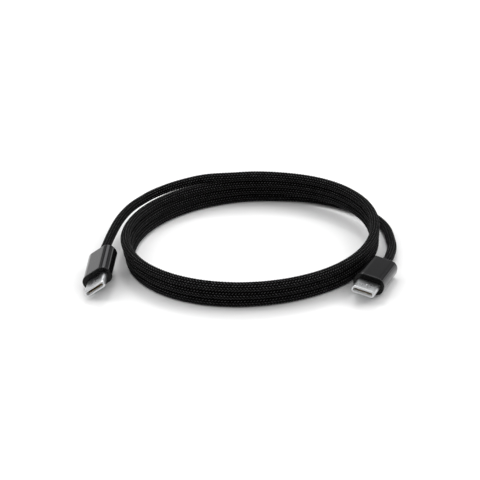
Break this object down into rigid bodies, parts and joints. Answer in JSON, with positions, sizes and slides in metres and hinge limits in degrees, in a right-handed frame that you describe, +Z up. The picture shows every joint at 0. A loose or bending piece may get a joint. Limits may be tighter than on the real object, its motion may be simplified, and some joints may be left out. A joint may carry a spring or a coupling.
{
  "type": "charging cable",
  "caption": "Black braided charging cable lying in a flat round coil, with a slim metal-sleeved reversible plug at each end.",
  "frame": {"origin": "on the table that the cable lies on, under the middle of the box that holds both plugs", "axes": "+Z up, +X from the left plug towards the right plug, +Y from the plugs' tips towards the back of the coil"},
  "size_m": [0.1079, 0.0902, 0.0123],
  "materials": {
    "braid": "matt black nylon braid, fine diamond weave with a faint sheen",
    "sleeve": "dark anodised aluminium, satin",
    "front_cap": "black moulded plastic, fine satin",
    "shell": "bright nickel-plated drawn steel",
    "carrier": "black glass-filled insulator",
    "contacts": "gold-plated copper alloy in a moulded wafer",
    "spring_steel": "plain rolled stainless strip",
    "board": "green solder mask",
    "mould": "pale translucent hot-melt moulding",
    "bush": "black soft elastomer",
    "chip": "black epoxy package",
    "wire_red": "extruded insulation",
    "wire_black": "extruded insulation",
    "wire_blue": "extruded insulation",
    "wire_green": "extruded insulation",
    "wire_white": "extruded insulation"
  },
  "bodies": {
    "root": {"cable_coil": "braid", "cable_lead_left": "braid", "cable_lead_right": "braid", "cable_end_left": "braid", "cable_end_right": "braid", "aluminium_sleeve_left": "sleeve", "aluminium_sleeve_right": "sleeve", "front_cap_left": "front_cap", "front_cap_right": "front_cap", "steel_shell_left": "shell", "steel_shell_right": "shell", "contact_carrier_left": "carrier", "contact_carrier_right": "carrier", "upper_contacts_left": "contacts", "upper_contacts_right": "contacts", "lower_contacts_left": "contacts", "lower_contacts_right": "contacts", "latch_plate_left": "spring_steel", "latch_plate_right": "spring_steel", "circuit_board_left": "board", "circuit_board_right": "board", "inner_mould_left": "mould", "inner_mould_right": "mould", "crimp_ferrule_left": "spring_steel", "crimp_ferrule_right": "spring_steel", "rear_bush_left": "bush", "rear_bush_right": "bush", "wire_power_left": "wire_red", "wire_power_right": "wire_red", "wire_ground_left": "wire_black", "wire_ground_right": "wire_black", "wire_cc_left": "wire_blue", "wire_cc_right": "wire_blue", "wire_data_plus_left": "wire_green", "wire_data_plus_right": "wire_green", "wire_data_minus_left": "wire_white", "wire_data_minus_right": "wire_white", "marker_chip_left": "chip", "resistor_left": "chip"}
  },
  "joints": []
}
